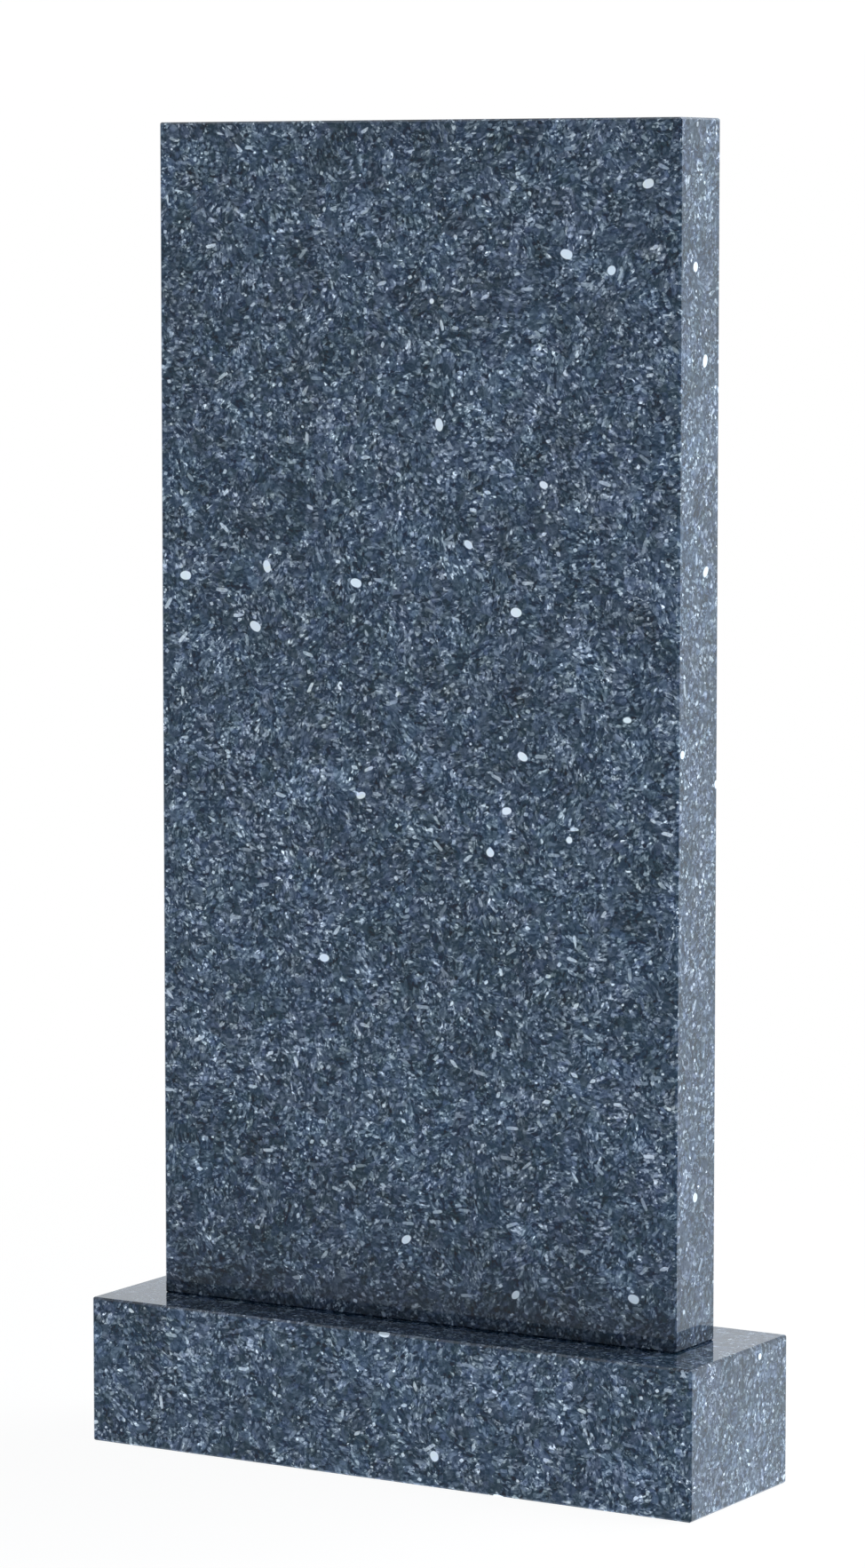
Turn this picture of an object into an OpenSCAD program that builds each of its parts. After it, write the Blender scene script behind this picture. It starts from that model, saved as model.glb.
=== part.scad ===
// Upright headstone: a polished granite tablet standing on a granite plinth.
// All sizes are in millimetres. X runs across the face, the face looks towards -Y
// and Z is up. The origin is the middle of the plinth's underside.

/* [Tablet] */
// Width of the tablet, across its face
tablet_w = 600; // [400:5:1000]
// Height of the tablet, from the plinth to its top
tablet_h = 1200; // [500:10:1500]
// Thickness of the tablet, from front to back
tablet_t = 80; // [50:5:160]

/* [Plinth] */
// Height of the plinth
plinth_h = 150; // [80:5:300]
// How far the plinth runs past each end of the tablet
ledge_end = 50; // [20:5:200]
// How far the plinth stands out in front of the tablet, and behind it
ledge_front = 60; // [20:5:200]

/* [Edges] */
// How far each sharp edge is cut back on both of its faces
arris = 2; // [0.5:0.5:8]

/* [Hidden] */

plinth_w = tablet_w + 2 * ledge_end;
plinth_d = tablet_t + 2 * ledge_front;

// A rectangle centred on the origin, its four corners cut off by the arris.
module cut_rectangle(w, d) {
    x = w / 2;
    y = d / 2;
    polygon([
        [-x + arris, -y], [x - arris, -y],
        [x, -y + arris], [x, y - arris],
        [x - arris, y], [-x + arris, y],
        [-x, y - arris], [-x, -y + arris]
    ]);
}

// A cut_rectangle of w by d, drawn out to a bar of length h along Z, its middle on the origin.
module cut_bar(w, d, h) {
    linear_extrude(height = h, center = true) cut_rectangle(w, d);
}

// A rectangular block standing on the XY plane with an arris on all twelve of its edges.
// Each of the three bars cuts the four edges that run along its own length.
module dressed_block(w, d, h) {
    translate([0, 0, h / 2])
    intersection() {
        cut_bar(w, d, h);
        rotate([90, 0, 0]) cut_bar(w, h, d);
        rotate([0, 90, 0]) cut_bar(h, d, w);
    }
}

module plinth() {
    color("#3d4856") dressed_block(plinth_w, plinth_d, plinth_h);
}

// The tablet stands face to face on the middle of the plinth's top.
module tablet() {
    color("#46525f") translate([0, 0, plinth_h]) dressed_block(tablet_w, tablet_t, tablet_h);
}

plinth();
tablet();
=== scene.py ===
import math

import bmesh
import bpy
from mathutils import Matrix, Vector


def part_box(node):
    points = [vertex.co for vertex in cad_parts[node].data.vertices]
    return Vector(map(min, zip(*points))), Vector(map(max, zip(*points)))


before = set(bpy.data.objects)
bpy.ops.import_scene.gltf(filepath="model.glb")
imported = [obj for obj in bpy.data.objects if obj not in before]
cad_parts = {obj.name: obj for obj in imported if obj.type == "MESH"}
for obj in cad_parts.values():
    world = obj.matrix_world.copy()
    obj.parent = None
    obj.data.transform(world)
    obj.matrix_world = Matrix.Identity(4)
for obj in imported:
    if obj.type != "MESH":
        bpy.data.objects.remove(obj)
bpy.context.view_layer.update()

# Looks of an upright headstone: two blocks of polished blue-grey granite on a pale studio
# floor. Lengths are in metres, except in the granite's pattern, where they are in
# millimetres. The pattern is solid, so each face shows the stone cut at another place.

SCENE = bpy.context.scene
SCENE.view_settings.view_transform = "Standard"


# ---------------------------------------------------------------- node trees


class Tree:
    """The node tree of a material or the world, with one short call for each kind of node.

    An argument that stands for a number, a vector or a colour is either a plain value or
    another node's output.
    """

    def __init__(self, owner):
        owner.use_nodes = True
        self.tree = owner.node_tree
        self.tree.nodes.clear()

    def node(self, kind, settings=None, **inputs):
        """Adds a node. Each input goes by its socket's name, with _ for a space."""
        node = self.tree.nodes.new(kind)
        for name, value in (settings or {}).items():
            setattr(node, name, value)
        for name, value in inputs.items():
            self.set(node.inputs[name.replace("_", " ")], value)
        return node

    def set(self, socket, value):
        if isinstance(value, bpy.types.NodeSocket):
            self.tree.links.new(value, socket)
        else:
            socket.default_value = value

    def math(self, operation, *values):
        node = self.node("ShaderNodeMath", {"operation": operation})
        for socket, value in zip(node.inputs, values):
            self.set(socket, value)
        return node.outputs[0]

    def line(self, number, slope, offset):
        """number times slope, plus offset."""
        return self.math("MULTIPLY_ADD", number, slope, offset)

    def total(self, *values):
        """The sum of two or more numbers."""
        result = values[0]
        for value in values[1:]:
            result = self.math("ADD", result, value)
        return result

    def swing(self, number, reach, middle=0.5):
        """How far a number from 0 to 1 is from its middle, times reach."""
        return self.math("MULTIPLY", self.math("SUBTRACT", number, middle), reach)

    def pick(self, number, share):
        """1 where a number from 0 to 1 is in the top share of that range, and 0 elsewhere."""
        return self.math("GREATER_THAN", number, 1 - share)

    def fit(self, value, low, high, to_low=0.0, to_high=1.0):
        """Maps low..high to to_low..to_high and holds the ends."""
        node = self.node("ShaderNodeMapRange")
        for socket, number in zip(node.inputs, (value, low, high, to_low, to_high)):
            self.set(socket, number)
        return node.outputs[0]

    def blend(self, share, a, b):
        """The number a where share is 0 and the number b where it is 1."""
        node = self.node("ShaderNodeMix", {"data_type": "FLOAT"}, Factor=share)
        self.set(node.inputs[2], a)
        self.set(node.inputs[3], b)
        return node.outputs[0]

    def blend_colours(self, share, a, b):
        """The colour a where share is 0 and the colour b where it is 1."""
        node = self.node("ShaderNodeMix", {"data_type": "RGBA"}, Factor=share)
        self.set(node.inputs[6], a)
        self.set(node.inputs[7], b)
        return node.outputs[2]

    def vector(self, operation, *values, factor=None):
        """A vector, or the number that a dot product or a length gives."""
        node = self.node("ShaderNodeVectorMath", {"operation": operation})
        for socket, value in zip(node.inputs, values):
            self.set(socket, value)
        if factor is not None:
            self.set(node.inputs["Scale"], factor)
        gives_number = operation in ("DOT_PRODUCT", "LENGTH")
        return node.outputs["Value" if gives_number else "Vector"]

    def height(self, place):
        """The Z of a place or a direction."""
        return self.node("ShaderNodeSeparateXYZ", None, Vector=place).outputs[2]

    def split(self, colour):
        """A colour's three channels, which in a cell's colour are random numbers."""
        return self.node("ShaderNodeSeparateColor", None, Color=colour).outputs[:3]

    def cells(self, place, size):
        """A pattern of cells about size across."""
        return self.node("ShaderNodeTexVoronoi", None, Vector=place, Scale=1 / size)

    def noise(self, place, size, detail=0.0):
        """Soft waves about size long, as a number from 0 to 1."""
        return self.noise_node(place, size, detail).outputs[0]

    def noise_colour(self, place, size, detail=0.0):
        """Three unlike noises at once, as a colour."""
        return self.noise_node(place, size, detail).outputs[1]

    def noise_node(self, place, size, detail):
        return self.node("ShaderNodeTexNoise", None, Vector=place, Scale=1 / size, Detail=detail)

    def glow(self, strength):
        return self.node("ShaderNodeEmission", None, Strength=strength).outputs[0]

    def matt(self, shade):
        return self.node("ShaderNodeBsdfDiffuse", None, Color=(shade, shade, shade, 1)).outputs[0]

    def add_shaders(self, a, b):
        node = self.node("ShaderNodeAddShader")
        self.set(node.inputs[0], a)
        self.set(node.inputs[1], b)
        return node.outputs[0]

    def mix_shaders(self, share, a, b):
        """The shader a where share is 0 and the shader b where it is 1."""
        node = self.node("ShaderNodeMixShader", None, Fac=share)
        self.set(node.inputs[1], a)
        self.set(node.inputs[2], b)
        return node.outputs[0]

    def show(self, surface, kind="ShaderNodeOutputMaterial"):
        self.node(kind, None, Surface=surface)


# -------------------------------------------------------------------- granite

MM_PER_METRE = 1000
MAX_TURN = 40.0  # radians; several whole turns, so that grains lie every way
STONE_IOR = 1.35

# Tones and colours are display values from 0 to 1, as on a screen. The stone's red and
# blue follow its tone along straight lines, each a slope and an offset.
DISPLAY_GAMMA = 2.2
PALE_RED = (1.01, -0.071)
DARK_RED = (1.5, -0.2)
LEAST_RED = 0.01
BLUE = (0.965, 0.0905)
GROUND_TONE = 0.278  # the ground between the plates

# An egg is thicker towards one end.
EGG_TAPER = 0.25
LEAST_TAPER = 0.75

# Polish and saw marks: roughness, and how deep the relief is in millimetres.
CLEAREST_POLISH = 0.015
HAZIEST_POLISH = 0.05
UNEVENNESS_DEPTH = 0.05
PIT_DEPTH = 0.004
SAWN_ROUGHNESS = 0.65
SAW_MARK_DEPTH = 0.25

# Painted shade at the foot of a stone that stands on a joint: how high it reaches, in metres,
# and the share of the stone's tone that is left at the joint.
FOOT_SHADE_REACH = 0.25
FOOT_SHADE_TONE = 0.90


def turned(t, place, lots):
    """Turns place by three angles drawn from a cell's random colour."""
    angles = t.vector("SCALE", lots, factor=MAX_TURN)
    kind = {"rotation_type": "EULER_XYZ"}
    return t.node("ShaderNodeVectorRotate", kind, Vector=place, Rotation=angles).outputs[0]


def bent(t, place, size, reach):
    """Shifts place to and fro by up to half of reach, in waves about size long."""
    lots = t.noise_colour(place, size, detail=1.0)
    shift = t.vector("SUBTRACT", lots, (0.5, 0.5, 0.5))
    return t.vector("MULTIPLY_ADD", shift, (reach, reach, reach), place)


def long_cells(t, place, size, stretch, turn=(0, 0, 0)):
    """Cells longer one way by stretch, all turned by the same three angles."""
    kind = {"vector_type": "TEXTURE"}
    mapping = t.node("ShaderNodeMapping", kind, Vector=place, Rotation=turn, Scale=(1, 1, stretch))
    return t.cells(mapping.outputs[0], size)


def grains(t, place, spacing, half_length, half_width, soft, egg=False):
    """Separate grains, one in each cell and each turned its own way.

    They are blocks with rounded corners, or egg-shaped. Returns a number that rises from 0
    at a grain's outline to 1 inside it, and three random numbers for each grain.
    """
    cell = t.cells(place, spacing)
    lots = cell.outputs["Color"]
    away = t.vector("SUBTRACT", place, cell.outputs["Position"])
    scaled = t.vector("DIVIDE", turned(t, away, lots), (half_width, half_width, half_length))
    if egg:
        taper = t.math("MAXIMUM", t.line(t.height(scaled), EGG_TAPER, 1.0), LEAST_TAPER)
        scaled = t.vector("SCALE", scaled, factor=taper)
    square = t.vector("MULTIPLY", scaled, scaled)
    distance = t.vector("DOT_PRODUCT", square, (1, 1, 1) if egg else square)
    return t.fit(distance, 1.0, 1.0 - soft), t.split(lots)


def skewed(t, lot, low, high):
    """Spreads a random number over low..high, with more of them near low."""
    return t.fit(t.math("POWER", lot, 1.5), 0.0, 1.0, low, high)


def slate(t, tone, warm, cool):
    """The stone's colour for a tone, always bluish.

    The darkest minerals have the least red. warm is added to the red and cool to the blue.
    """
    red = t.math("MINIMUM", t.line(tone, *PALE_RED), t.line(tone, *DARK_RED))
    red = t.math("MAXIMUM", t.math("ADD", red, warm), LEAST_RED)
    blue = t.math("ADD", t.line(tone, *BLUE), cool)
    display = t.node("ShaderNodeCombineColor", None, Red=red, Green=tone, Blue=blue).outputs[0]
    return t.node("ShaderNodeGamma", None, Color=display, Gamma=DISPLAY_GAMMA).outputs[0]


def minerals(t, place):
    """The granite's tone at each place, and how warm and how cool it is there."""
    curved = bent(t, place, size=9.0, reach=5.0)

    # Patches hold grains, grains hold flakes, and chips lie among the flakes. All flakes
    # and chips of a patch lie one way, and the flakes have dark seams.
    patch = t.cells(curved, size=24.0).outputs["Color"]
    patch_tone, _, patch_warmth = t.split(patch)
    grain = t.cells(curved, size=9.5).outputs["Color"]
    grain_tone, grain_contrast, grain_cool = t.split(grain)
    laid = turned(t, place, patch)
    flake = long_cells(t, laid, size=3.3, stretch=2.3)
    flake_tone = t.split(flake.outputs["Color"])[0]
    seam = t.fit(flake.outputs["Distance"], 0.5, 0.85, to_low=0.0, to_high=-0.36)
    chip = long_cells(t, laid, size=2.1, stretch=1.8, turn=(0.35, 0.2, 0))
    chip_tone = t.split(chip.outputs["Color"])[0]
    cloud = t.noise(place, size=60.0, detail=2.0)
    broad = t.total(
        t.swing(cloud, reach=0.62),
        t.swing(patch_tone, reach=0.20),
        t.swing(grain_tone, reach=0.27),
    )
    fine = t.total(
        t.swing(flake_tone, reach=1.25, middle=0.45),
        seam,
        t.swing(chip_tone, reach=1.15),
    )
    contrast = t.fit(grain_contrast, 0.10, 0.45, to_low=0.35, to_high=1.0)

    # Feldspar plates, smoother than the ground. Most are a little paler than it and a few
    # are much paler.
    plate, (lot, picked, plate_cool) = grains(
        t, curved, spacing=8.2, half_length=7.0, half_width=2.3, soft=0.2
    )
    plate = t.math("MULTIPLY", plate, t.pick(picked, share=0.645))
    contrast = t.math("MULTIPLY", contrast, t.fit(plate, 0.0, 1.0, to_low=1.0, to_high=0.5))
    depth = t.line(fine, contrast, broad)
    tone = t.math("MULTIPLY", t.math("EXPONENT", depth), GROUND_TONE)
    gain = skewed(t, lot, low=0.12, high=0.75)
    tone = t.math("MULTIPLY", tone, t.line(gain, plate, 1.0))

    # Straight pale slivers, which let a little of the ground through.
    sliver, (lot, picked, _) = grains(
        t, place, spacing=17.0, half_length=7.5, half_width=1.9, soft=0.5
    )
    sliver = t.math("MULTIPLY", sliver, t.math("MULTIPLY", t.pick(picked, share=0.695), 0.9))
    pale = skewed(t, lot, low=0.45, high=0.92)
    tone = t.blend(sliver, tone, t.math("ADD", pale, t.swing(chip_tone, reach=0.15)))

    # Tiny bright specks, thick in some grains and absent from others.
    speck, (lot, picked, _) = grains(
        t, place, spacing=7.5, half_length=1.6, half_width=1.2, soft=0.3
    )
    crowd = t.math("MULTIPLY", picked, grain_contrast)
    speck = t.math("MULTIPLY", speck, t.pick(crowd, share=0.44))
    tone = t.blend(speck, tone, t.fit(lot, 0.0, 1.0, to_low=0.5, to_high=0.9))

    # A few near-white pebbles.
    pebble, (lot, picked, _) = grains(
        t, place, spacing=64.0, half_length=6.8, half_width=4.8, soft=0.2, egg=True
    )
    pebble = t.math("MULTIPLY", pebble, t.pick(picked, share=0.895))
    tone = t.blend(pebble, tone, t.fit(lot, 0.0, 1.0, to_low=0.92, to_high=0.98))

    # Pale areas are a little bluer and less red than dark ones.
    warm = t.total(t.swing(patch_warmth, reach=0.02), t.math("MULTIPLY", broad, -0.03))
    plate_blue = t.swing(t.math("MULTIPLY", plate, plate_cool), reach=0.025, middle=0.2)
    cool = t.total(t.swing(grain_cool, reach=0.03), t.math("MULTIPLY", broad, 0.07), plate_blue)
    return tone, warm, cool


def finish(t, place, tone):
    """Roughness and the relief's height in millimetres.

    The stone is polished, with a faint unevenness and finer pits. The faces that look
    down, which nobody sees, are left as the saw cut them.
    """
    normal = t.node("ShaderNodeTexCoord").outputs["Normal"]
    sawn = t.fit(t.height(normal), -0.8, -0.9)

    unevenness = t.noise(place, size=30.0)
    pits = t.noise(place, size=2.6, detail=1.0)
    polished_relief = t.total(t.swing(unevenness, UNEVENNESS_DEPTH), t.swing(pits, PIT_DEPTH))
    blade = {"bands_direction": "X"}
    marks = t.node("ShaderNodeTexWave", blade, Vector=place, Scale=0.12, Distortion=1.5)
    sawn_relief = t.math("MULTIPLY", marks.outputs["Fac"], SAW_MARK_DEPTH)
    relief = t.blend(sawn, polished_relief, sawn_relief)

    # Pale minerals take the polish less well.
    haze = t.math("ADD", tone, t.swing(unevenness, reach=0.3))
    polish = t.fit(haze, 0.1, 0.8, CLEAREST_POLISH, HAZIEST_POLISH)
    roughness = t.blend(sawn, polish, SAWN_ROUGHNESS)
    return roughness, relief


def granite(name, shift, joint=None):
    """Blue-grey granite. shift, in millimetres, picks the part of the stone that is shown.

    joint is the height of the bedding joint; painted shade darkens the stone's foot towards it.
    """
    material = bpy.data.materials.new(name)
    t = Tree(material)
    metres = t.node("ShaderNodeTexCoord").outputs["Object"]
    place = t.vector("MULTIPLY_ADD", metres, (MM_PER_METRE,) * 3, shift)
    tone, warm, cool = minerals(t, place)
    if joint is not None:
        # Painted shade: the tone darkens towards the joint, where the plinth's ledge shades the
        # foot.
        foot_shade = t.fit(t.height(metres), joint, joint + FOOT_SHADE_REACH, FOOT_SHADE_TONE, 1.0)
        tone = t.math("MULTIPLY", tone, foot_shade)
    roughness, relief = finish(t, place, tone)
    bump = t.node("ShaderNodeBump", None, Strength=1.0, Distance=1 / MM_PER_METRE, Height=relief)
    shader = t.node(
        "ShaderNodeBsdfPrincipled",
        None,
        Base_Color=slate(t, tone, warm, cool),
        Roughness=roughness,
        IOR=STONE_IOR,
        Normal=bump.outputs[0],
    )
    t.show(shader.outputs[0])
    return material


# ------------------------------------------------------------ floor and world

WHITE = (1, 1, 1, 1)
COOL_WHITE = (0.94, 1.0, 1.075, 1)

# How strongly the world lights the stone, level with it and from straight above.
HORIZON = 0.06
ZENITH = 0.40

# The world as the polish shows it: 1 at the horizon and brighter with height, up to a limit.
OVERHEAD_GAIN = 4.5
OVERHEAD_LIMIT = 2.0

# The floor as a source of light, and as the camera sees it, with its faint shadow.
FLOOR_RADIUS = 14.0
LIT_SHADE = 0.85
LIT_GLOW = 1.17
SEEN_SHADE = 0.12
SEEN_GLOW = 0.935
# It fades into the white background between these distances from the middle.
FADE_START = 0.8
FADE_END = 2.0


def background_rays(t):
    """1 for rays from the camera or off a polished or clear surface, 0 for soft light."""
    path = t.node("ShaderNodeLightPath").outputs
    return t.total(path["Is Camera Ray"], path["Is Glossy Ray"], path["Is Transmission Ray"])


def make_world():
    """White to the camera, brighter overhead in the polish, and a gentler soft light."""
    world = bpy.data.worlds.new("studio")
    SCENE.world = world
    t = Tree(world)
    height = t.height(t.node("ShaderNodeTexCoord").outputs["Generated"])
    light = t.fit(height, 0.0, 1.0, HORIZON, ZENITH)
    overhead = t.math("POWER", t.math("MAXIMUM", height, 0.0), 2.0)
    backdrop = t.math("MINIMUM", t.line(overhead, OVERHEAD_GAIN, 1.0), OVERHEAD_LIMIT)
    strength = t.blend(background_rays(t), light, backdrop)
    to_camera = t.node("ShaderNodeLightPath").outputs["Is Camera Ray"]
    colour = t.blend_colours(to_camera, COOL_WHITE, WHITE)
    sky = t.node("ShaderNodeBackground", None, Color=colour, Strength=strength)
    t.show(sky.outputs[0], "ShaderNodeOutputWorld")


def make_floor():
    """A pale round floor with a faint shadow, which the polish looks straight through."""
    mesh = bpy.data.meshes.new("floor")
    shape = bmesh.new()
    bmesh.ops.create_circle(shape, cap_ends=True, segments=96, radius=FLOOR_RADIUS)
    shape.to_mesh(mesh)
    shape.free()
    floor = bpy.data.objects.new("floor", mesh)
    SCENE.collection.objects.link(floor)

    material = bpy.data.materials.new("floor")
    t = Tree(material)
    lighting = t.add_shaders(t.matt(LIT_SHADE), t.glow(LIT_GLOW))
    shadowed = t.add_shaders(t.matt(SEEN_SHADE), t.glow(SEEN_GLOW))
    from_middle = t.vector("LENGTH", t.node("ShaderNodeTexCoord").outputs["Object"])
    fade = t.fit(from_middle, FADE_START, FADE_END)
    seen = t.mix_shaders(fade, shadowed, t.glow(1.0))
    surface = t.mix_shaders(background_rays(t), lighting, seen)
    clear = t.node("ShaderNodeBsdfTransparent").outputs[0]
    off_polish = t.node("ShaderNodeLightPath").outputs["Is Glossy Ray"]
    t.show(t.mix_shaders(off_polish, surface, clear))
    mesh.materials.append(material)


def softbox(name, place, target, width, height, radiance, colour=(1, 1, 1)):
    """A rectangular lamp at place that faces target."""
    lamp = bpy.data.lights.new(name, "AREA")
    lamp.shape = "RECTANGLE"
    lamp.size = width
    lamp.size_y = height
    lamp.energy = radiance * width * height * math.pi
    lamp.color = colour
    box = bpy.data.objects.new(name, lamp)
    box.location = place
    aim = Vector(target) - Vector(place)
    box.rotation_euler = aim.to_track_quat("-Z", "Y").to_euler()
    box.visible_camera = False
    SCENE.collection.objects.link(box)


def make_camera():
    """In front of the stone and to its right, looking slightly down."""
    look_down = math.radians(5.947)
    look_left = math.radians(31.109)
    lens = bpy.data.cameras.new("camera")
    lens.lens = 125.24
    lens.sensor_width = 36
    camera = bpy.data.objects.new("camera", lens)
    camera.location = (2.8053, -4.6510, 1.2561)
    camera.rotation_euler = (math.radians(90) - look_down, 0, look_left)
    SCENE.collection.objects.link(camera)
    SCENE.camera = camera


make_camera()
make_world()
make_floor()
softbox(
    "right_softbox",
    place=(2.2, 2.0, 0.3),
    target=(0, 2.0, 0.3),
    width=4.2,
    height=3.0,
    radiance=1.06,
    colour=(0.92, 1.0, 1.07),
)
softbox(
    "top_softbox",
    place=(1.3, 1.0, 3.2),
    target=(0, 0, 0.6),
    width=2.0,
    height=2.0,
    radiance=3.2,
)

# ---------------------------------------------------------------------- stone

# The tablet's foot is darkened with painted shade towards the joint it stands on. The plinth has
# none.
PLINTH_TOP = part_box("plinth")[1].z
for name, shift, joint in (("tablet", (0, 0, 0), PLINTH_TOP), ("plinth", (400, 300, 200), None)):
    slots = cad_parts[name].data.materials
    slots.clear()
    slots.append(granite(f"{name}_granite", shift, joint))
